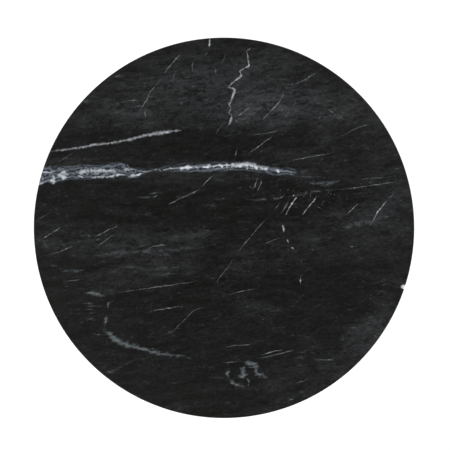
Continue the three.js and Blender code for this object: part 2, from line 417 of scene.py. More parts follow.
def middle_of(node):
    low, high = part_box(node)
    return ((low.x + high.x) / 2, (low.y + high.y) / 2)


def radius_of(node):
    low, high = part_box(node)
    return (high.x - low.x) / 2


def heights_of(node):
    low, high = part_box(node)
    return (low.z, high.z)


NUMBERS = (1, 2, 3, 4)
TOP_RADIUS = radius_of("marble_top")
TOP_LOW, TOP_HIGH = heights_of("marble_top")


# ---------------------------------------------------------------- the marble

# Places in the slab are in thousandths of its radius from its centre, x then y.
THOUSANDTH = 0.001

# Veins of the slab. Each has a route and its half widths in millimetres, at the points
# between the route's ends. One number alone is the half width at the middle.


CRISP_VEINS = [
    # the long white vein above the band
    ([(-970, 390), (-900, 401), (-850, 409), (-755, 421), (-679, 437), (-573, 448), (-498, 464),
      (-422, 484), (-332, 499), (-250, 511), (-215, 515)], [1, 2, 2.2, 2.6, 2, 2.5, 2.9, 3.8, 2.2]),
    # the crooked vein that runs down from the far rim
    ([(149, 949), (137, 941), (116, 926), (126, 901), (129, 877), (131, 850), (106, 837), (82, 823),
      (92, 800), (55, 770), (30, 748), (18, 735)], [1.3, 0.8, 1.3, 1.6, 1.7, 1.1, 2, 2, 1.3, 1.3]),
    ([(5, 741), (30, 738), (50, 731), (64, 722)], [1.2, 2.2]),
    ([(57, 737), (56, 726), (53, 709), (45, 687), (35, 665), (28, 645), (38, 626), (27, 607),
      (40, 588), (35, 566), (30, 548), (18, 529)],
     [2.4, 2.7, 2.2, 1.1, 2, 0.9, 1.4, 1.3, 2.7, 1.9]),
    ([(98, 605), (85, 594), (76, 588)], [1.2]),
    # the short tick at the far rim
    ([(-74, 1010), (-75.6, 983), (-77.3, 958), (-79, 940)], [1.7, 1.6]),
    # ticks across the middle of the right side
    ([(388, 163), (382, 158), (355, 125), (335, 88), (308, 46)], [1.1, 1.3, 0.8]),
    ([(490, 174), (470.5, 140), (438, 102), (420, 80), (407, 58)], [1.2, 0.9, 1.1]),
    ([(710, 134), (674, 100), (638, 64)], [1]),
    ([(860, 150), (850.6, 137.5), (820, 102), (795, 62), (758, 1)], [0.9, 1.3, 1]),
    ([(367, 178), (362, 160)], 1.5),
    # the dotted vein below them
    ([(309, 20), (312, -4), (315.5, -30)], [1.9]),
    ([(326, -60), (334, -68), (343, -83)], [1.8]),
    ([(350, -103), (361, -105), (372, -112)], [1.7]),
    ([(403, -252), (401, -276), (404, -300)], [1.5]),
]

FAINT_VEINS = [
    ([(-762, 412), (-823, 375), (-900, 330)], 0.9),
    ([(-211, 932), (-235, 905), (-265, 872), (-306, 826), (-312, 806)], [1.2, 1.5, 1.5]),
    ([(-304, 815), (-330, 780), (-360, 745), (-389, 712), (-402, 690)], [0.7, 0.8, 1.3]),
    ([(-389, 718), (-405, 672), (-430, 635), (-448, 600), (-463, 535)], [1.6, 1.4, 0.8]),
    ([(-412, 645), (-416, 600), (-406, 565)], 1.2),
    ([(-425, 668), (-470, 671), (-530, 660), (-600, 648)], [0.8, 0.7]),
    ([(-79, 940), (-92, 916), (-121, 887)], 0.8),
    ([(17, 935), (5, 901), (-9, 870), (-18, 848)], [0.6, 0.7]),
    ([(-20, 835), (-44, 832), (-50, 785)], [0.7]),
    ([(160, 656), (130, 630), (100, 606), (60, 580)], [0.8, 1]),
    ([(53, 571), (66, 559), (86, 538)], [1]),
    ([(15, 565), (-15, 536), (-32, 511), (-49, 490)], [0.7, 0.8]),
    ([(315, 730), (310, 700), (294, 666), (253, 619), (216, 582), (184, 548)], [0.9, 1.1, 1, 1]),
    ([(300, 735), (394, 763), (461, 798), (530, 845)], [0.8, 0.8]),
    ([(445, 690), (477, 667), (510, 635)], 1.2),
    ([(530, 636), (567, 609), (595, 586)], 1.6),
    ([(525, 595), (500, 578), (480, 562)], 1),
    ([(765, 543), (745, 539), (700, 526), (628, 489), (550, 452)], [1.3, 0.9, 0.8]),
    ([(295, 515), (270, 507), (223, 496), (176, 491), (100, 487)], [1.2, 0.9, 0.9]),
    ([(262, 494), (235, 466), (159, 410), (84, 363)], [1, 0.9]),
    ([(71, 433), (64, 401), (52, 350)], 1.2),
    ([(620, 405), (514, 383), (424, 368), (300, 342)], [1, 1.1]),
    ([(-40, 288), (-75, 262), (-105, 230), (-122, 205)], [1.2, 1]),
    ([(-118, 213), (-150, 190), (-211, 164), (-271, 134), (-308, 116)], [1.2, 1, 1.2]),
    ([(180, 276), (174, 255), (160, 215), (141, 190)], [0.9, 1.2]),
    ([(898, 194), (878, 165), (850, 136)], 0.7),
    ([(339, 152), (325, 120), (310, 94), (275, 55)], [0.9, 0.7]),
    ([(318, 174), (302, 162), (288, 149)], 1.1),
    ([(463, 120), (500, 108), (532, 84)], 0.6),
    ([(531, 146), (518, 130), (502, 113)], 0.7),
    ([(242, 66), (182, 5), (145, -40), (106, -85), (55, -152)], [0.8, 0.6, 0.8]),
    ([(65, -140), (16, -214), (-29, -267), (-50, -320)], [0.7, 0.7]),
    ([(320, -42), (241, -71), (170, -102)], 0.7),
    ([(345, 165), (335, 130), (318, 100), (298, 62)], [1, 0.9]),
    ([(310, 150), (270, 100), (245, 70)], 0.8),
    ([(125, 225), (148, 205), (160, 198)], 0.9),
    ([(190, 262), (196, 235), (180, 205), (170, 180)], [1.3, 1.1]),
    ([(-245, 845), (-262, 800), (-270, 740)], 0.8),
    ([(-150, 905), (-168, 850), (-160, 790)], 0.7),
    ([(360, 640), (330, 600), (300, 560)], 0.8),
    ([(407, -160), (404, -190)], 1.2),
    ([(-842, 12), (-883, -14), (-938, -47), (-1010, -90)], [1, 0.9]),
    ([(-892, 98), (-930, 70), (-1010, 25)], 0.9),
    ([(-898, 94), (-855, 60)], 0.7),
    ([(-500, 42), (-560, 10), (-616, -15), (-646, -32), (-700, -53)], [0.8, 1.2, 1.3]),
    ([(-690, -50), (-708, -42), (-730, -28)], 1.1),
    ([(-545, -12), (-600, -50), (-646, -83), (-690, -112)], [0.7, 0.8]),
    ([(-780, -88), (-820, -106), (-868, -128), (-990, -160)], [1.2, 0.9]),
    ([(-870, -288), (-800, -277), (-720, -268)], 0.9),
    ([(-100, -268), (-213, -291), (-344, -309), (-430, -322), (-530, -337), (-590, -343)],
     [0.9, 1.2, 0.8, 1]),
    ([(-160, -410), (-230, -412), (-330, -428), (-440, -447)], [0.8, 1]),
    ([(215, -310), (76, -335), (-45, -374)], 1),
    ([(-20, -390), (-160, -435), (-270, -545), (-345, -570)], [0.5, 0.5]),
    ([(180, -598), (122, -615), (52, -617), (-8, -632)], [0.9, 0.9]),
    ([(385, -636), (330, -652), (245, -672), (150, -692)], [1.1, 1]),
    ([(325, -635), (270, -646), (215, -662), (175, -677)], [1.6, 1.3]),
    ([(590, -693), (556, -693), (500, -692), (455, -693)], [1.2, 0.9]),
    ([(450, -797), (400, -808), (352, -826)], 1.4),
    ([(380, -905), (350, -901), (325, -897)], 1.3),
    ([(100, -696), (42, -705), (-25, -709)], 1),
    ([(-620, -564), (-660, -560), (-700, -553)], 0.8),
    ([(-635, -416), (-686, -409), (-740, -416)], 1.1),
    ([(-430, 172), (-360, 184), (-300, 192)], 0.9),
    ([(-342, 182), (-360, 166), (-384, 152)], 1.2),
    ([(300, 160), (403, 173), (490, 187)], 1.1),
    ([(530, 193), (695, 211), (860, 235), (990, 258)], [0.9, 0.8]),
    ([(640, 245), (780, 262), (960, 272)], 0.8),
    ([(655, -98), (690, -99)], 0.9),
    ([(-425, -118), (-364, -95), (-319, -88), (-303, -103)], [1.4, 1.3]),
]

SMOKY_VEINS = [
    # the hook at the lower left: its head, its stem and its sweep
    ([(-735, -343), (-700, -340), (-672, -345), (-645, -356), (-615, -359)], [2.6, 3.4, 2.2]),
    ([(-586, -383), (-607, -396), (-606, -420)], 2),
    ([(-611, -455), (-614, -475), (-621, -497), (-628, -520)], [2.6, 3.6]),
    ([(-636, -533), (-606, -557), (-575, -581), (-530, -606), (-465, -626), (-404, -641.5),
      (-344, -657), (-268, -667), (-175, -680)], [4, 5.4, 4.4, 3.4, 3.2, 2.7, 2.3]),
    # the broken ring near the front
    ([(98, -703), (120, -709), (143, -718), (166, -729), (188, -742)], [3.2, 5, 4.6]),
    ([(160, -726), (168, -745), (176, -764), (197, -776), (232, -789)], [4.6, 4.2, 3.4]),
    ([(107, -722), (100, -738), (96, -755), (98, -772), (85, -788)], [4.4, 3.6, 4.4]),
    ([(125, -766), (95, -778), (60, -786)], 3.4),
    ([(24, -738), (19, -758), (15, -772), (30, -792)], [3, 3.2]),
    ([(30, -797), (46, -811), (67, -824), (115, -832)], [4.4, 4]),
    ([(128, -826), (131, -806), (122, -788)], 1.6),
]

SMEARS = [
    # pale smears on the left
    ([(-870, -228), (-820, -230), (-770, -228), (-715, -222)], [3.2, 3.4]),
    ([(-890, -280), (-894, -262), (-880, -245)], 2.2),
    ([(-855, -307), (-835, -310), (-795, -308)], 1.6),
    ([(-800, -338), (-765, -345), (-745, -350)], 1.4),
    ([(-740, -430), (-700, -426), (-655, -437)], 3.4),
    ([(-720, -150), (-600, -136), (-400, -122), (-220, -112), (-60, -92)], [3.6, 4.2, 3.6]),
    ([(-410, -225), (-340, -214), (-270, -205), (-200, -205)], [3.8, 3]),
    ([(-480, 156), (-400, 163), (-330, 170)], 3),
    ([(-960, -60), (-930, -100), (-960, -130)], 5),
    ([(-615, 790), (-555, 795), (-500, 797)], 3),
    ([(-710, 755), (-670, 765), (-620, 780)], 3),
    ([(-800, 655), (-720, 663), (-640, 670)], 4.5),
    # what the band runs out into
    ([(340, 268), (460, 270), (560, 262)], 2.4),
    ([(490, 218), (540, 228), (600, 247), (630, 258)], [4.2, 2.6]),
    ([(540, -20), (604, -8), (700, 20), (780, 40), (900, 75)], [3, 6, 5]),
    ([(100, 142), (191, 150), (272, 155), (345, 163)], [2.6, 3.2]),
    ([(400, 250), (470, 236), (550, 240), (620, 250)], [3.4, 3.8]),
    ([(350, 180), (440, 186), (540, 200), (620, 206)], [2, 2.4]),
    ([(-550, -205), (-500, -200), (-440, -207)], 3.4),
    ([(-620, -235), (-570, -230), (-520, -238)], 2.6),
    ([(-360, -248), (-300, -240), (-230, -236)], 2.6),
    ([(-940, -200), (-900, -196), (-850, -198)], 2.6),
    ([(-760, -395), (-710, -392), (-660, -398)], 2.4),
    ([(-740, -480), (-700, -478), (-660, -484)], 2),
    ([(-550, -885), (-480, -880), (-400, -884)], 2.6),
    ([(-660, -760), (-610, -755), (-550, -765)], 2.4),
]

# White ropes of crystal that lie in the band.
ROPES = [
    ([(-785, 291), (-755, 294.5), (-720, 296), (-697, 297), (-653, 301.5), (-619, 297), (-585, 302),
      (-530, 294)], [5.8, 4.6, 4.4, 5.4, 4.8, 4.2]),
    ([(-1020, 292), (-950, 291.5), (-900, 295), (-855, 291)], [2.4, 2.6]),
    ([(-1020, 213), (-970, 231), (-948, 239.5), (-905, 251)], [2.3, 2.2]),
    ([(-782, 292), (-767, 274.7), (-743, 264.6), (-712, 266.5)], [1.6, 2]),
    ([(-720, 257.5), (-676, 264), (-642.6, 265.5), (-602, 272), (-569, 277.5), (-540, 278.5),
      (-510, 275)], [2.2, 2.6, 2.6, 2.9, 2.5]),
    ([(-512, 265), (-490, 270), (-473.4, 277), (-452, 277), (-416, 294), (-380, 303), (-349.5, 305),
      (-319, 304), (-283, 311), (-235, 314)], [3.4, 3.8, 3.2, 1.8, 1.6, 1.3, 1.6, 2]),
    ([(-530, 301), (-511.7, 310), (-495, 304), (-455, 309)], [4.8, 3]),
    ([(-260, 313.5), (-225.7, 315.3), (-205, 316), (-192.4, 317), (-165, 320), (-144, 321),
      (-110, 321), (-83.7, 321), (-60, 324), (-29.3, 327), (-5, 329), (18, 330)],
     [5.4, 3.6, 5.6, 1.8, 2.8, 1.6, 4.6, 1.8, 4, 2.4]),
    ([(-5, 328.5), (16, 330), (38, 330), (64.3, 331), (98, 334), (121.7, 335.5), (145, 330),
      (168, 325), (190, 318), (209.4, 309), (236.5, 314.5), (252, 314)],
     [5.6, 3, 5.4, 4.6, 5.8, 6.6, 6, 3, 6.2, 3.6]),
    ([(115, 322), (121.7, 309), (124, 298)], 2.4),
    ([(262, 300), (281.8, 297), (300, 291)], 4.2),
]

# The band that holds them: its upper and lower edges, and grey-white lumps outside the
# ropes with their half lengths and half heights.
BAND_UPPER = [(-1000, 325), (-900, 327), (-790, 326), (-720, 331), (-640, 329), (-612, 334),
              (-585, 343), (-540, 344), (-505, 337), (-490, 318), (-450, 313), (-400, 307),
              (-350, 313), (-290, 328), (-220, 340), (-140, 344), (-30, 347), (60, 350), (122, 351),
              (180, 342), (205, 330), (260, 322), (330, 320), (370, 312), (392, 298)]
BAND_LOWER = [(-1000, 218), (-970, 224), (-920, 238), (-900, 228), (-870, 243), (-820, 252),
              (-724, 254), (-660, 256), (-573, 266), (-520, 272), (-505, 258), (-450, 264),
              (-410, 286), (-380, 297), (-330, 296), (-280, 292), (-196, 288), (-90, 289),
              (31, 297), (90, 302), (130, 296), (200, 288), (250, 276), (330, 270), (370, 275),
              (392, 290)]
LUMPS = [(-843, 273, 38.4, 25.6), (-898, 252, 17.0, 29.8), (-846, 291, 21.3, 12.8)]

# Paler and darker zones of the ground: centre, half length, half height and strength. Most are the
# stone's own clouds and bands; laid in with them are painted light on the far side, painted shade
# towards the lower left, and a painted sheen along the rim at lower right.
PALER_ZONES_AND_LIGHT = [
    (-80, 720, 680, 240, 0.55), (150, 640, 260, 100, 0.9), (120, 570, 70, 40, 0.5),
    (280, 560, 120, 60, 0.35), (480, 630, 340, 140, 0.55), (-640, 600, 280, 140, 0.35),
    (-460, -80, 500, 110, 0.48), (-100, -30, 140, 50, 0.3), (170, -450, 160, 80, 0.38),
    (720, 40, 260, 80, 0.55), (-800, -270, 160, 80, 0.2), (-330, -210, 200, 50, 0.35),
    # painted sheen: the three zones from here along the rim at lower right are a painted reflection
    # off the polished slab, not stone
    (830, -460, 100, 170, 0.66), (740, -600, 140, 140, 0.72), (610, -730, 140, 100, 0.35),
    (-380, -930, 300, 100, 0.25), (860, 300, 180, 400, 0.3), (-920, -100, 100, 160, 0.3),
]
DARKER_ZONES_AND_SHADE = [
    (-420, 430, 660, 100, 0.6), (-550, 170, 550, 70, 0.55), (250, 220, 450, 60, 0.4),
    (-600, -660, 350, 140, 0.35), (100, -530, 350, 50, 0.45), (20, 110, 420, 130, 0.6),
    # painted shade: the broad zones on this line and the next darken the slab towards its lower
    # left, as the light falls
    (500, -380, 500, 280, 0.4), (-720, -450, 200, 100, 0.3), (-520, -620, 950, 300, 0.95),
    (-920, -360, 280, 280, 0.8), (-250, -860, 500, 160, 0.35), (-900, 160, 350, 140, 0.6),
]


def greatest(wires):
    return functools.reduce(Wire.most, wires)


def veins_inside(stone, place, veins):
    """How far inside the nearest of several veins a place is: 1 in the middle of its
    widest part, 0 at its edge and less outside."""
    x, y, _ = stone.axes(place)
    return greatest(one_vein(stone, x, y, *vein) for vein in veins)


def ruler(x, y, start, direction, length):
    """How far a place lies from a start along a direction, in lengths."""
    slope_x, slope_y = direction / length
    offset_there = -start[0] * slope_x - start[1] * slope_y
    return x.times_plus(slope_x, y.times_plus(slope_y, offset_there))


def one_vein(stone, x, y, route, half_widths):
    """A vein along a route, which runs out to nothing at both ends."""
    points = [Vector(point) * THOUSANDTH for point in route]
    start = points[0]
    run = points[-1] - start
    along = run.normalized()
    across = Vector((-along.y, along.x))
    steps = [((p - start).dot(along) / run.length, (p - start).dot(across)) for p in points]
    at_points = isinstance(half_widths, list)
    shares = [step for step, _ in steps] if at_points else [0, 0.5, 1]
    widths = [0, *(half_widths if at_points else [half_widths]), 0]
    widest = max(widths) * MM / TOP_RADIUS
    reach = 1.05 * max(abs(side) for _, side in steps) + widest
    share = ruler(x, y, start, along, run.length)
    side = ruler(x, y, start - across * reach, across, 2 * reach)
    line = [(step, 0.5 + off / (2 * reach)) for step, off in steps]
    swell = [(step, width / max(widths)) for step, width in zip(shares, widths)]
    centre = follow(stone, share, line)
    return abs(side - centre).times_plus(-2 * reach / widest, follow(stone, share, swell))


def follow(stone, share, points):
    """The height of a line of points at a share of its length."""
    return stone.node("ShaderNodeFloatCurve", {"points": points}, {1: share})


def patch(stone, x, y, centre_x, centre_y, half_length, half_height, strength=1.0):
    """A soft oval, as strong as asked at its centre and nothing at its edge."""
    lengths = x.times_plus(1 / (half_length * THOUSANDTH), -centre_x / half_length)
    heights = y.times_plus(1 / (half_height * THOUSANDTH), -centre_y / half_height)
    distance = lengths.times_plus(lengths, heights * heights)
    return stone.span(distance, 0.0, 1.0, strength, 0.0)


def all_patches(stone, place, patches):
    x, y, _ = stone.axes(place)
    return functools.reduce(Wire.__add__, (patch(stone, x, y, *oval) for oval in patches))


def white_band(stone, place, flow):
    """Where the white band shows, how light its threads are, and its white crystals."""
    low, high = 150, 450
    first, last = BAND_UPPER[0][0], BAND_UPPER[-1][0]
    torn = stone.stirred(stone.stirred(place, 24.0, 0.012, 3.0), 85.0, 0.008)
    x, y, _ = stone.axes(torn)
    share = stone.span(x, first * THOUSANDTH, last * THOUSANDTH)
    level = (y - low * THOUSANDTH) * (1 / ((high - low) * THOUSANDTH))

    def edge(points):
        line = [((at - first) / (last - first), (up - low) / (high - low)) for at, up in points]
        return follow(stone, share, line)
    above = edge(BAND_UPPER) - level
    below = level - edge(BAND_LOWER)
    tip = last * THOUSANDTH
    end = stone.span(x, tip - 0.02, tip + 0.005, 1.0, 0.0)
    depth = above.least(below)
    wide = stone.span(x, -0.36, -0.48)
    narrow = 1 - wide
    inside = stone.span(depth, -0.010, narrow * 0.070 + 0.020) * end
    # threads of dark stone that follow the band and curl where it is widest
    sway = stone.noise(flow, (6.0, 15.0, 6.0))
    curl = stone.noise(flow, 19.0, 2.0, 0.55)
    phase = above * 14.0 + sway * 3.4 + curl * wide * 2.2
    thread = stone.span(phase.fold(0.5), 0.04, 0.44, smooth=True)
    fray = stone.noise(flow, (44.0, 105.0, 44.0), 3.0, 0.65)
    body = thread * 0.80 + stone.span(fray, 0.30, 0.72) * 0.45 - 0.18
    body = stone.span(body * (narrow * 0.52 + 0.60), 0.0, 1.0)
    # ropes of white crystal, their edges broken into grains
    grains = stone.cells(stone.vector("MULTIPLY", flow, (0.8, 1.2, 1.0)), 64.0)
    grit = stone.noise(flow, 60.0, 3.0, 0.62)
    ragged = (grit - 0.5) * 2.1 + (0.42 - grains) * 0.70
    ropes = veins_inside(stone, torn, ROPES)
    crystal = stone.span(ropes + ragged, 0.10, narrow * -0.20 + 0.86)
    crystal = crystal * (narrow * 0.42 + 0.58)
    for oval in LUMPS:
        lump = patch(stone, x, y, *oval)
        crystal = crystal.most(stone.span(lump + ragged, 0.25, 0.95) * 0.66)
    stray = stone.span(grit, 0.60, 0.74) * stone.span(depth, 0.0, 0.06)
    return inside, body, crystal.most(stray * 0.5)


CHIP_ANGLE = math.radians(-18.2)


def black_marble():
    """Honed black marble with white and grey veins, drawn right through the slab."""
    stone = Finish("black_marble", "black_marble", IOR=1.5, Specular_IOR_Level=0.28)
    share = stone.vector("SCALE", stone.place, 1 / TOP_RADIUS)
    # the veins lean as they go down through the slab
    _, _, height = stone.axes(share)
    sunk = stone.span(height, TOP_LOW / TOP_RADIUS, TOP_HIGH / TOP_RADIUS, 1.0, 0.0)
    lean = stone.vector("SCALE", (0.030, 0.045, 0.0), sunk)
    place = stone.vector("ADD", share, lean)
    flat = stone.vector("MULTIPLY", place, (1.0, 1.0, 0.15))

    wander = stone.stirred(flat, 30.0, 0.0085)
    crooked = stone.stirred(wander, 110.0, 0.0050, 1.0)
    drift = stone.stirred(flat, 3.2, 0.10, 3.0)

    # ground: cloudy bedding that leans a little, made of short strokes and specks
    slope = 6
    bedding = stone.leaned(drift, slope, 0.30)
    broad = stone.noise(bedding, 1.8, 3.0)
    stroke = stone.noise(bedding, 8.0, 6.0, 0.72)
    dash = stone.noise(stone.leaned(wander, slope, 0.42), 38.0, 4.0, 0.75)
    mottle = stone.noise(flat, 70.0, 3.0, 0.7)
    speck = stone.noise(flat, 190.0, 2.0, 0.6)
    texture = stone.span(stroke, 0.36, 0.68) * 0.75 + stone.span(dash, 0.34, 0.70) * 0.75
    texture = texture + (mottle - 0.5) * 1.1 + (speck - 0.5) * 1.5 - 0.06
    # the zones lay painted shade on the lower left, painted light on the far side and a painted
    # sheen along the lower right rim over the stone's own clouds
    zones = all_patches(stone, drift, PALER_ZONES_AND_LIGHT) - all_patches(stone, drift, DARKER_ZONES_AND_SHADE)
    level = stone.span(zones * 0.42 + (broad - 0.5) * 0.55 + 0.06, 0.0, 1.0)
    cloud_and_painted_light = level * (texture * 1.5 - 0.05) + texture * 0.20 - 0.05
    cloud_and_painted_light = stone.span(cloud_and_painted_light, 0.0, 1.0)
    dark = stone.mix(stone.noise(drift, 4.0), tone(10, 9, 7), tone(10, 10, 9))
    pale = stone.mix(stone.noise(drift, 2.1), tone(60, 62, 60), tone(60, 62, 66))
    stone.colour = stone.mix(cloud_and_painted_light, dark, pale)

    # fine pale threads that lie along the bedding
    wisps = stone.noise(stone.leaned(wander, slope, 0.22), 17.0, 5.0, 0.70)
    wisp = stone.span(wisps, 0.60, 0.80) * stone.span(cloud_and_painted_light, 0.02, 0.30, 0.30, 1.0)
    stone.lay(wisp * 0.60, 112, 120, 124)

    # a sparse net of hairs that cross the bedding
    crack = stone.cells(stone.leaned(wander, 40, 0.22), 2.4, "DISTANCE_TO_EDGE")
    hair = stone.span(crack, 0.0, 0.012, 1.0, 0.0)
    hair = hair * stone.span(stone.noise(flat, 4.5), 0.52, 0.64) * stone.span(dash, 0.40, 0.60)
    stone.lay(hair * 0.13, 128, 132, 134)

    # pale grains, scattered in drifts
    near_x, near_y, _ = stone.axes(drift)
    run_out = patch(stone, near_x, near_y, 460, 210, 340, 110, 1.6)
    sprinkle = stone.span(stone.noise(flat, 120.0, 1.0), 0.70, 0.78)
    sprinkle = sprinkle * stone.span(stroke, 0.46, 0.64).most(run_out)
    stone.lay(sprinkle * 0.38, 136, 140, 140)

    # the named veins, faint ones first
    broken = stone.noise(flat, 34.0, 3.0, 0.6)
    beads = stone.span(stone.cells(flat, 62.0), 0.20, 0.52, 1.0, 0.0)
    tear = stone.noise(flat, (40.0, 72.0, 40.0), 5.0, 0.72)
    torn = stone.stirred(wander, 14.0, 0.020)
    grain = mottle - 0.5
    smear = stone.span(veins_inside(stone, torn, SMEARS), 0.0, 1.0)
    stone.lay(smear * stone.span(tear, 0.42, 0.68) * 0.62, 104, 111, 116)
    streak = stone.noise(wander, (26.0, 92.0, 26.0), 4.0, 0.7)
    smoke = veins_inside(stone, torn, SMOKY_VEINS) + (streak - 0.5) * 4.2 + grain * 1.6
    stone.lay(stone.span(smoke, -0.10, 1.45) * 0.64, 120, 128, 133)
    faint = stone.span(veins_inside(stone, crooked, FAINT_VEINS) + grain * 1.1, 0.15, 0.95)
    faint = faint * stone.span(broken, 0.34, 0.64, 0.30, 1.0) * (beads * 0.5 + 0.5)
    stone.lay(faint * 0.84, 160, 166, 170)
    ragged = stone.stirred(crooked, 130.0, 0.008)
    crisp = stone.span(veins_inside(stone, ragged, CRISP_VEINS) + grain * 1.5, 0.0, 0.8)
    crisp = crisp * stone.span(broken, 0.28, 0.56, 0.55, 1.0) * (beads * 0.4 + 0.6)
    stone.lay(crisp * 0.92, 188, 191, 197)

    # the white band
    inside, body, whiteness = white_band(stone, wander, crooked)
    band = stone.mix(body, tone(28, 32, 37), tone(114, 123, 133))
    band = stone.mix(whiteness, band, tone(212, 215, 222))
    stone.colour = stone.mix(inside * 0.97, stone.colour, band)

    # the pale bruise at the chipped arris
    chip_x, chip_y, _ = stone.axes(crooked)
    chip_at = (992 * math.cos(CHIP_ANGLE), 992 * math.sin(CHIP_ANGLE))
    bruise = patch(stone, chip_x, chip_y, *chip_at, 16, 13)
    stone.lay(stone.span(bruise, 0.15, 0.6) * 0.9, 196, 196, 196)

    veined = crisp.most(faint).most(inside * whiteness)
    gloss = broad * 0.10 + (speck - 0.5) * 0.10
    roughness = stone.span(gloss - veined * 0.06 + 0.27, 0.0, 1.0)
    pores = stone.span(stone.noise(flat, 260.0, 2.0, 0.6), 0.60, 0.80)
    return stone.finished(roughness, mottle * 0.3 - pores * 0.6, 0.12, 0.3 * MM)


def slab_back():
    """The sawn back of the slab: grey, with a fibre mesh set in resin."""
    back = Finish("slab_back", IOR=1.5)
    saw = back.stirred(back.place, 6.0, 0.012)
    x, y, _ = back.axes(saw)
    kerf = back.noise(saw, (18.0, 540.0, 6.0), 3.0)
    pitch = 5 * MM
    strand = 0.35
    mesh = greatest(back.span((line * (1 / pitch)).fold(0.5), strand * 0.5, strand, 1.0, 0.0)
                    for line in (x, y))
    blotch = back.noise(back.place, 14.0, 4.0, 0.6)
    back.blend(blotch, (48, 50, 51), (84, 86, 86))
    back.lay(kerf * 0.4, 98, 99, 98)
    back.lay(mesh * 0.55, 150, 152, 146)
    roughness = back.span(blotch, 0.3, 0.7, 0.35, 0.62)
    return back.finished(roughness, mesh + kerf * 0.4, 0.5, 0.4 * MM)


# ---------------------------------------------------------------- the other finishes

def black_coat(name="black_powder_coat", scuffed=False):
    """Satin black powder coat with orange peel, dust and a few rubs."""
    coat = Finish(name, "black_powder_coat", IOR=1.5, Specular_IOR_Level=0.38)
    peel = coat.noise(coat.place, 900.0)
    swell = coat.noise(coat.place, 260.0)
    haze = coat.noise(coat.place, 9.0, 5.0, 0.65)
    dust = coat.span(coat.noise(coat.place, 2400.0, 1.0), 0.70, 0.80)
    coat.blend(haze, (15, 15, 16), (23, 23, 24))
    coat.lay(dust * 0.25, 92, 90, 86)
    roughness = coat.span(haze, 0.3, 0.7, 0.36, 0.50) + dust * 0.2
    if scuffed:
        # shoes rub the slope of the base in short arcs
        arcs = coat.leaned(coat.stirred(coat.place, 12.0, 0.02), 28, 0.05)
        rub = coat.span(coat.noise(arcs, 60.0, 3.0, 0.6), 0.68, 0.80)
        rub = rub * coat.span(coat.noise(coat.place, 11.0, 3.0), 0.52, 0.66)
        coat.lay(rub * 0.35, 74, 74, 75)
        roughness = roughness + rub * 0.18
        # dust settles low down and on the flat ring
        _, _, height = coat.axes(coat.place)
        settled = coat.span(height, 0.070, 0.028) * coat.noise(coat.place, 40.0, 4.0, 0.7)
        coat.lay(settled * 0.22, 108, 104, 98)
    return coat.finished(roughness, peel * 0.6 + swell, 0.22, 0.12 * MM)


def cast_iron():
    """Sand-cast iron under thin matt black paint."""
    iron = Finish("cast_iron_painted", "cast_iron_painted", IOR=1.45)
    sand = iron.noise(iron.place, 700.0, 4.0, 0.7)
    pits = iron.span(iron.cells(iron.place, 420.0), 0.0, 0.34, 1.0, 0.0)
    lumps = iron.noise(iron.place, 120.0, 3.0)
    worn = iron.span(iron.noise(iron.place, 60.0, 5.0, 0.7), 0.64, 0.78)
    iron.blend(lumps, (20, 20, 21), (33, 33, 34))
    iron.lay(worn * 0.35, 72, 62, 55)
    roughness = iron.span(sand, 0.3, 0.7, 0.52, 0.74)
    return iron.finished(roughness, sand + lumps - pits * 0.5, 0.55, 0.35 * MM)


def birch_plywood():
    """Oiled birch plywood: grain on its faces and plies round its edge."""
    board = Finish("birch_plywood", "plywood", IOR=1.45)
    plies = 9
    low, high = heights_of("sub_top")
    _, _, height = board.axes(board.place)
    layer = ((height - low) * (plies / (high - low))).fold(1.0)
    glue = board.span(abs(layer - 0.5), 0.0, 0.07, 1.0, 0.0)
    grain = board.noise(board.stirred(board.place, 5.0, 0.03), (10.2, 142.8, 27.2), 6.0, 0.62)
    pores = board.noise(board.place, (40.0, 700.0, 300.0), 3.0)
    figure = board.noise(board.place, (4.8, 36.0, 4.0), 3.0)
    board.blend(grain, (190, 156, 110), (164, 126, 80))
    board.lay(figure * 0.5, 202, 172, 128)
    board.lay(board.span(layer, 0.40, 0.60, smooth=True) * 0.70, 134, 96, 58)
    board.lay(glue * 0.6, 72, 48, 32)
    board.lay(board.span(pores, 0.58, 0.72) * 0.4, 112, 80, 50)
    roughness = board.span(grain, 0.3, 0.7, 0.46, 0.62)
    return board.finished(roughness, grain * 0.6 - pores * 0.5, 0.35, 0.25 * MM)


def zinc_plate():
    """Bright zinc plate with a faint yellow and blue cast."""
    zinc = Finish("zinc_plated_steel", "zinc_plated_steel", Metallic=1.0)
    cloudy = zinc.noise(zinc.place, 150.0, 4.0, 0.6)
    zinc.blend(zinc.noise(zinc.place, 60.0), (182, 184, 188), (192, 188, 176))
    zinc.lay(zinc.span(cloudy, 0.55, 0.75) * 0.4, 142, 144, 146)
    brushed = zinc.noise(zinc.place, (900.0, 900.0, 8100.0), 3.0, 0.7)
    return zinc.finished(zinc.span(cloudy, 0.3, 0.7, 0.26, 0.44), brushed, 0.20, 0.08 * MM)


def mill_steel():
    """Hot-rolled plate: blue-grey mill scale with bare, lightly rusted patches."""
    steel = Finish("mill_steel", "mill_steel", Metallic=0.75)
    scale = steel.noise(steel.stirred(steel.place, 12.0, 0.02), 34.0, 6.0, 0.66)
    flakes = steel.span(scale, 0.52, 0.60)
    rust = steel.span(steel.noise(steel.place, 22.0, 5.0, 0.7), 0.58, 0.74)
    steel.blend(steel.noise(steel.place, (20.0, 300.0, 20.0), 4.0), (62, 64, 70), (86, 88, 92))
    steel.lay(flakes * 0.6, 112, 112, 114)
    steel.lay(rust * 0.45, 106, 72, 48)
    roughness = steel.span(scale + rust * 0.2, 0.3, 0.8, 0.42, 0.70)
    return steel.finished(roughness, scale + flakes * 0.3, 0.35, 0.2 * MM)


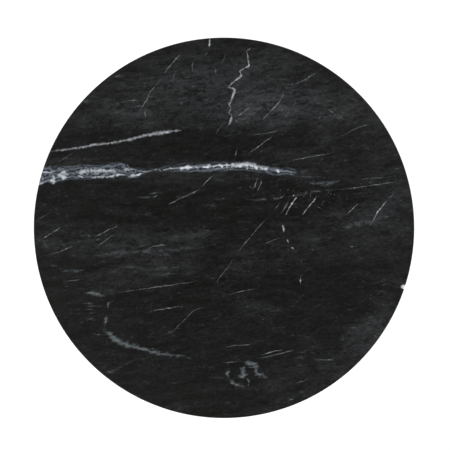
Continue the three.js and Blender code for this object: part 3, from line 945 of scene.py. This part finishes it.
def black_nylon():
    """Moulded black nylon, finely grained and scuffed where it slides."""
    nylon = Finish("black_nylon", "black_nylon", IOR=1.53)
    cloudy = nylon.noise(nylon.place, 80.0, 3.0)
    _, _, height = nylon.axes(nylon.place)
    drag = nylon.span(nylon.noise(nylon.place, (260.0, 3120.0, 260.0), 3.0), 0.45, 0.65)
    scuff = nylon.span(height, 2.0 * MM, 0.0) * drag
    nylon.blend(cloudy, (22, 22, 22), (32, 32, 33))
    nylon.lay(scuff * 0.5, 82, 80, 77)
    roughness = nylon.span(cloudy, 0.3, 0.7, 0.44, 0.58) + scuff * 0.2
    return nylon.finished(roughness, nylon.cells(nylon.place, 2600.0), 0.18, 0.10 * MM)


def turned_brass():
    """Turned brass with fine tool rings and a little tarnish."""
    brass = Finish("turned_brass", "brass", Metallic=1.0)
    rings = brass.noise(brass.place, (800.0, 800.0, 9600.0))
    tarnish = brass.noise(brass.place, 240.0, 4.0, 0.6)
    brass.blend(tarnish, (196, 160, 88), (150, 116, 62))
    return brass.finished(brass.span(tarnish, 0.3, 0.7, 0.24, 0.42), rings, 0.2, 0.06 * MM)


marble = black_marble()
sawn = slab_back()
coat = black_coat()
base_coat = black_coat("base_powder_coat", scuffed=True)
iron = cast_iron()
plywood = birch_plywood()
zinc = zinc_plate()
steel = mill_steel()
nylon = black_nylon()
brass = turned_brass()


# ---------------------------------------------------------------- the top

def marble_slab():
    """The slab with eased arrises and one small chip in its upper arris."""
    sides = 720
    arris = 1.4 * MM
    corners = [(0, TOP_LOW, 0), (TOP_RADIUS, TOP_LOW, arris), (TOP_RADIUS, TOP_HIGH, arris),
               (0, TOP_HIGH, 0)]
    mesh = turned("marble_slab", corners, sides, steps=5)
    chip_half_width = 4.5 * MM
    chip_depth = 1.7 * MM
    chip_height = 5 * MM
    centre = Vector((TOP_RADIUS * math.cos(CHIP_ANGLE), TOP_RADIUS * math.sin(CHIP_ANGLE)))
    for vertex in mesh.vertices:
        away = (Vector(vertex.co[:2]) - centre).length / chip_half_width
        down = (TOP_HIGH - vertex.co.z) / chip_height
        if away < 1 and down < 1 and vertex.co.xy.length > TOP_RADIUS - 3 * arris:
            bite = chip_depth * (1 - away ** 2) * (1 - down)
            vertex.co -= Vector((*vertex.co.xy, 0)).normalized() * bite
            vertex.co.z -= bite * 0.5
    mesh.materials.append(marble.material)
    mesh.materials.append(sawn.material)
    for face in mesh.polygons:
        face.material_index = 1 if face.normal.z < -0.9 else 0
    lay_flat(mesh)
    return mesh


def lay_flat(mesh):
    """The slab's map: its top fills most of it, its side lies round the top as a ring,
    and its back sits small in a corner."""
    top_share = 0.452
    side_share = 0.030
    back_share = 0.088
    back_centre = (1 - back_share - 0.004, back_share + 0.004)
    layer = mesh.uv_layers.new(name="OFBake")
    for face in mesh.polygons:
        for loop in face.loop_indices:
            point = mesh.vertices[mesh.loops[loop].vertex_index].co
            if face.material_index == 1:
                spread = back_share / TOP_RADIUS
                spot = (back_centre[0] + point.x * spread, back_centre[1] - point.y * spread)
            else:
                drop = (TOP_HIGH - point.z) / (TOP_HIGH - TOP_LOW)
                radius = top_share * point.xy.length / TOP_RADIUS + side_share * drop
                angle = math.atan2(point.y, point.x)
                radius = 0.0 if point.xy.length < ON_AXIS else radius
                spot = (0.5 + radius * math.cos(angle), 0.5 + radius * math.sin(angle))
            layer.data[loop].uv = spot


stand("marble_slab", marble_slab(), marble, "marble_top")

screw_places = [middle_of(f"spider_screw_{number}") for number in NUMBERS]
insert_low, insert_high = heights_of("threaded_insert_1")
insert_radius = radius_of("threaded_insert_1")


def plywood_disc():
    low, high = heights_of("sub_top")
    radius = radius_of("sub_top")
    chamfer = 3 * MM
    soft = 0.5 * MM
    corners = [(0, low, 0), (radius - chamfer, low, soft), (radius, low + chamfer, soft),
               (radius, high, soft), (0, high, 0)]
    disc = turned("sub_top_board", corners, 256)
    return drilled(disc, screw_places, insert_radius + FIT, low - FIT, insert_high + FIT)


stand("sub_top_board", plywood_disc(), plywood, "sub_top")


def cast_spider():
    """The casting: the CAD shape with every edge softened as the sand leaves it."""
    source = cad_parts["spider"]
    casting = placed("spider_casting", source.data.copy())
    casting.data.materials.clear()
    remesh = casting.modifiers.new("cast", "REMESH")
    remesh.mode = "VOXEL"
    remesh.voxel_size = 1.3 * MM
    relax = casting.modifiers.new("soften", "SMOOTH")
    relax.factor = 0.5
    relax.iterations = 4
    mesh = applied(casting)
    bpy.data.objects.remove(casting)
    return smoothed(mesh, 60)


stand("spider_casting", cast_spider(), iron, "spider")


def top_screw_mesh():
    """An M6 hexagon screw: a turned washer face, a head with cut corners, a plain shank."""
    low, high = heights_of("spider_screw_1")
    across = 10 * MM
    head_height = 4 * MM
    shank = 3 * MM
    sides = 72
    head_top = low + head_height
    dish = 0.3 * MM
    seat = across * 0.47
    hoops = [(0, low + dish), (across * 0.36, low + dish),
             *hexagon_hoops(across, low, head_top - dish), (seat, head_top - dish),
             (seat, head_top), (shank, head_top), (shank, high - shank / 4),
             (shank * 0.75, high), (0, high)]
    return skin("top_screw", sides, hoops)


top_screw = top_screw_mesh()
SMALL_BORE = 3.3 * MM
washer_radius = radius_of("spider_washer_1")
small_washer = washer("small_washer", SMALL_BORE, washer_radius, *heights_of("spider_washer_1"))


def insert_mesh():
    """A brass insert with a knurled band."""
    knurls = 30
    groove = 0.25 * MM

    def knurled(angle):
        return insert_radius - groove * abs((angle * knurls / TURN) % 1 * 2 - 1)
    third = (insert_high - insert_low) / 3
    bands = [(knurled, insert_low + third * level) for level in (0.7, 1.4, 1.6, 2.6)]
    hoops = [(SMALL_BORE, insert_low), (insert_radius, insert_low), *bands,
             (insert_radius * 0.9, insert_high), (SMALL_BORE, insert_high)]
    return skin("insert", knurls * 4, hoops, closed=True)


insert = insert_mesh()
for number, place in zip(NUMBERS, screw_places):
    stand(f"brass_insert_{number}", insert, brass, f"threaded_insert_{number}", place)
    stand(f"top_washer_{number}", small_washer, zinc, f"spider_washer_{number}", place)
    stand(f"top_screw_{number}", top_screw, zinc, f"spider_screw_{number}", place)


# ---------------------------------------------------------------- the column

TUBE_RADIUS = radius_of("column_tube")
TUBE_WALL = 2 * MM


def column_mesh():
    """The tube, with the sharpness taken off its ends."""
    low, high = heights_of("column_tube")
    soft = 0.4 * MM
    outside = [(TUBE_RADIUS, low, soft), (TUBE_RADIUS, high, soft)]
    return ring("column", TUBE_RADIUS - TUBE_WALL, outside, 160, soft)


stand("column", column_mesh(), coat, "column_tube")


def tie_rod_mesh():
    """A plain rod, threaded at both ends."""
    low, high = heights_of("tie_rod")
    radius = radius_of("tie_rod")
    sides = 48
    pitch = 1.75 * MM
    threaded = 30 * MM
    lead = 1 * MM
    hoops = [(0, low), (radius - lead, low),
             *thread_hoops(radius, pitch, low + lead, low + threaded),
             *thread_hoops(radius, pitch, high - threaded, high - lead),
             (radius - lead, high), (0, high)]
    return skin("tie_rod", sides, hoops)


stand("clamp_rod", tie_rod_mesh(), zinc, "tie_rod")
ROD_BORE = 6.3 * MM
ROD_NUT_ACROSS = 19 * MM
for end in ("top", "bottom"):
    node = f"tie_rod_{end}_washer"
    disc = washer(f"rod_washer_{end}", ROD_BORE, radius_of(node), *heights_of(node))
    stand(f"rod_washer_{end}", disc, zinc, node)
    node = f"tie_rod_{end}_nut"
    block = nut(f"rod_nut_{end}", ROD_NUT_ACROSS, ROD_BORE, *heights_of(node))
    stand(f"rod_nut_{end}", block, zinc, node)


def seat_mesh():
    """The turned seat: a flange, and a spigot with a lead."""
    low, high = heights_of("column_seat")
    radius = radius_of("column_seat")
    flange = low + 8 * MM
    spigot = TUBE_RADIUS - TUBE_WALL - FIT
    lead = 1.5 * MM
    soft = 0.4 * MM
    outside = [(radius, low, soft), (radius, flange, soft), (spigot, flange, soft),
               (spigot, high - lead, soft), (spigot - lead, high, soft)]
    return ring("seat", ROD_BORE, outside, 96, soft)


stand("seat", seat_mesh(), steel, "column_seat")


# ---------------------------------------------------------------- the base

PLATE_LOW, PLATE_HIGH = heights_of("base_plate")
foot_places = [middle_of(f"foot_pad_{number}") for number in NUMBERS]
STEM_RADIUS = 4 * MM
PLATE_SIDES = 192


def plate_mesh():
    """The ballast plate, with its counterbore and the four holes of the feet."""
    radius = radius_of("base_plate")
    counterbore = radius_of("tie_rod_bottom_washer") + 2 * MM
    step = PLATE_LOW + 6 * MM
    edge = 1.5 * MM
    soft = 0.3 * MM
    outside = [(counterbore, step, soft), (counterbore, PLATE_LOW, soft),
               (radius, PLATE_LOW, edge), (radius, PLATE_HIGH, edge)]
    plate = ring("plate", ROD_BORE, outside, PLATE_SIDES, soft)
    below, above = PLATE_LOW - 1 * MM, PLATE_HIGH + 1 * MM
    return drilled(plate, foot_places, STEM_RADIUS + FIT, below, above)


stand("ballast_plate", plate_mesh(), steel, "base_plate")

COVER_WALL = 2 * MM
COVER_SHOULDER = 12 * MM
COVER_SEAT = 8 * MM
COVER_RISE = 26 * MM
COVER_REACH = 78 * MM
COVER_NECK_PULL = 44 * MM
NECK_UPRIGHT = 5 * MM
NECK_RADIUS = TUBE_RADIUS + 0.5 * MM


def cover_line():
    """The cover's inner line: skirt, shoulder, seat on the plate, and sweep to the neck."""
    low, high = heights_of("base_cover")
    radius = radius_of("base_cover")
    seat_level = PLATE_HIGH + FIT
    shoulder = radius - COVER_SHOULDER
    fillet = COVER_SHOULDER - COVER_WALL
    line = [(radius - COVER_WALL, low)]
    steps = 14
    for step in range(steps + 1):
        angle = step / steps * TURN / 4
        height = seat_level - fillet + fillet * math.sin(angle)
        line.append((shoulder + fillet * math.cos(angle), height))
    start = Vector((shoulder - COVER_SEAT, seat_level))
    end = Vector((NECK_RADIUS, high - NECK_UPRIGHT))
    pulls = (start, start + Vector((-COVER_REACH, COVER_RISE)),
             end - Vector((0, COVER_NECK_PULL)), end)
    steps = 48
    for step in range(steps + 1):
        t = step / steps
        weights = ((1 - t) ** 3, 3 * t * (1 - t) ** 2, 3 * t * t * (1 - t), t ** 3)
        point = sum((pull * weight for pull, weight in zip(pulls, weights)), Vector((0, 0)))
        line.append(tuple(point))
    line.append((NECK_RADIUS, high))
    return line


def cover_mesh():
    inner = cover_line()
    outer = offset(inner, -COVER_WALL)
    return skin("cover", PLATE_SIDES, outer + inner[::-1], closed=True)


stand("spun_cover", cover_mesh(), base_coat, "base_cover")


def collar_mesh():
    """The ring that closes the neck, rebated over the end of the cover."""
    low, high = heights_of("column_collar")
    radius = radius_of("column_collar")
    rebate = NECK_RADIUS + COVER_WALL + FIT
    step = heights_of("base_cover")[1] + FIT
    round_over = 2.2 * MM
    soft = 0.3 * MM
    outside = [(rebate, step, 0), (rebate, low, soft),
               (radius, low, round_over), (radius, high, round_over)]
    return ring("collar", NECK_RADIUS, outside, 128, soft, steps=6)


stand("collar", collar_mesh(), coat, "column_collar")


# ---------------------------------------------------------------- the feet

PAD_HIGH = heights_of("foot_pad_1")[1]
STEM_LOW, STEM_HIGH = heights_of("foot_stem_1")
HEXAGON = 13 * MM


def pad_mesh():
    """A moulded glide: a round-edged disc with a socket and a ring groove in its top."""
    radius = radius_of("foot_pad_1")
    socket = STEM_RADIUS + FIT
    floor = 3 * MM
    lip = socket + 2.6 * MM
    groove = 0.5 * MM
    soft = 0.2 * MM
    corners = [
        (0, 0, 0), (radius, 0, 1.0 * MM), (radius, PAD_HIGH - 2 * MM, 1.2 * MM),
        (radius - 2.5 * MM, PAD_HIGH, 0.8 * MM), (lip + 2 * MM, PAD_HIGH, soft),
        (lip + 1 * MM, PAD_HIGH - groove, soft), (lip, PAD_HIGH, soft),
        (socket, PAD_HIGH, soft), (socket, floor, soft), (0, floor, 0),
    ]
    return turned("pad", corners, 96)


def stem_mesh():
    """A levelling screw: a plain neck, a hexagon and an M8 thread."""
    sides = 48
    hexagon_low = PAD_HIGH + FIT
    hexagon_high = hexagon_low + 5 * MM
    lead = 0.8 * MM
    pitch = 1.25 * MM
    hoops = [(0, STEM_LOW), (STEM_RADIUS - lead, STEM_LOW),
             (STEM_RADIUS, STEM_LOW + lead), (STEM_RADIUS, hexagon_low),
             *hexagon_hoops(HEXAGON, hexagon_low, hexagon_high),
             *thread_hoops(STEM_RADIUS, pitch, hexagon_high, STEM_HIGH - lead),
             (STEM_RADIUS - lead, STEM_HIGH), (0, STEM_HIGH)]
    return skin("stem", sides, hoops)


pad = pad_mesh()
stem = stem_mesh()
lock = nut("lock_nut", HEXAGON, STEM_RADIUS + FIT, *heights_of("foot_lock_nut_1"))
for number, place in zip(NUMBERS, foot_places):
    foot = f"foot_{number}"
    stand(f"glide_{number}", pad, nylon, f"foot_pad_{number}", place, foot)
    stand(f"levelling_screw_{number}", stem, zinc, f"foot_stem_{number}", place, foot + "_stem")
    stand(f"lock_nut_{number}", lock, zinc, f"foot_lock_nut_{number}", place)


# ---------------------------------------------------------------- floor, light and camera

def pale_floor():
    """A wide, plain, pale floor."""
    paint = Finish("pale_floor", Roughness=0.9, Specular_IOR_Level=0.0)
    paint.set(Emission_Strength=0.10, Emission_Color=tone(255, 255, 255))
    paint.blend(paint.noise(paint.place, 6.0, 3.0), (251, 251, 251), (253, 253, 253))
    paint.set(Base_Color=paint.colour)
    reach = 12.0
    floor = placed("floor", turned("floor", [(0, 0, 0), (reach, 0, 0)], 64))
    floor.data.materials.append(paint.material)


def sky():
    """Soft studio light: bright all round and dim overhead."""
    world = bpy.data.worlds.new("studio")
    SCENE.world = world
    world.use_nodes = True
    light = Nodes(world.node_tree)
    brightest, dimmest = 1.46, 0.035
    bright_below, dim_above = 0.74, 0.96
    _, _, up = light.axes(light.node("ShaderNodeTexCoord", {}, {}, "Generated"))
    strength = light.span(up, bright_below, dim_above, brightest, dimmest, smooth=True)
    shine = light.node("ShaderNodeBackground", {}, {"Strength": strength})
    light.node("ShaderNodeOutputWorld", {}, {"Surface": shine})


def softbox(name, azimuth, elevation, distance, size, power):
    """An area light that faces the middle of the table."""
    lamp = bpy.data.lights.new(name, "AREA")
    lamp.shape = "RECTANGLE"
    lamp.size, lamp.size_y = size
    lamp.energy = power
    box = placed(name, lamp)
    turn, lift = math.radians(azimuth), math.radians(elevation)
    level = math.cos(lift)
    away = Vector((math.sin(turn) * level, -math.cos(turn) * level, math.sin(lift)))
    aim = Vector((0, 0, 0.55))
    box.location = aim + away * distance
    box.rotation_mode = "QUATERNION"
    box.rotation_quaternion = away.to_track_quat("Z", "Y")


def camera_over_the_top():
    """Looks straight down at the slab, which sits a little left of and below the middle."""
    lens, sensor = 100.0, 36.0
    view_width = 2.363 * TOP_RADIUS
    nudge = (0.0052 * TOP_RADIUS, 0.0150 * TOP_RADIUS)
    data = bpy.data.cameras.new("camera")
    data.lens = lens
    data.sensor_width = sensor
    camera = placed("camera", data)
    camera.location = (*nudge, TOP_HIGH + view_width * lens / sensor)
    SCENE.camera = camera


pale_floor()
sky()
softbox("key", azimuth=-48, elevation=40, distance=2.6, size=(1.6, 1.2), power=20)
softbox("fill", azimuth=60, elevation=34, distance=2.8, size=(1.8, 1.2), power=6)
softbox("rear_left", azimuth=215, elevation=36, distance=2.8, size=(1.6, 1.2), power=9)
softbox("rear_right", azimuth=130, elevation=36, distance=2.8, size=(1.6, 1.2), power=5)
camera_over_the_top()
SCENE.view_settings.view_transform = "Standard"
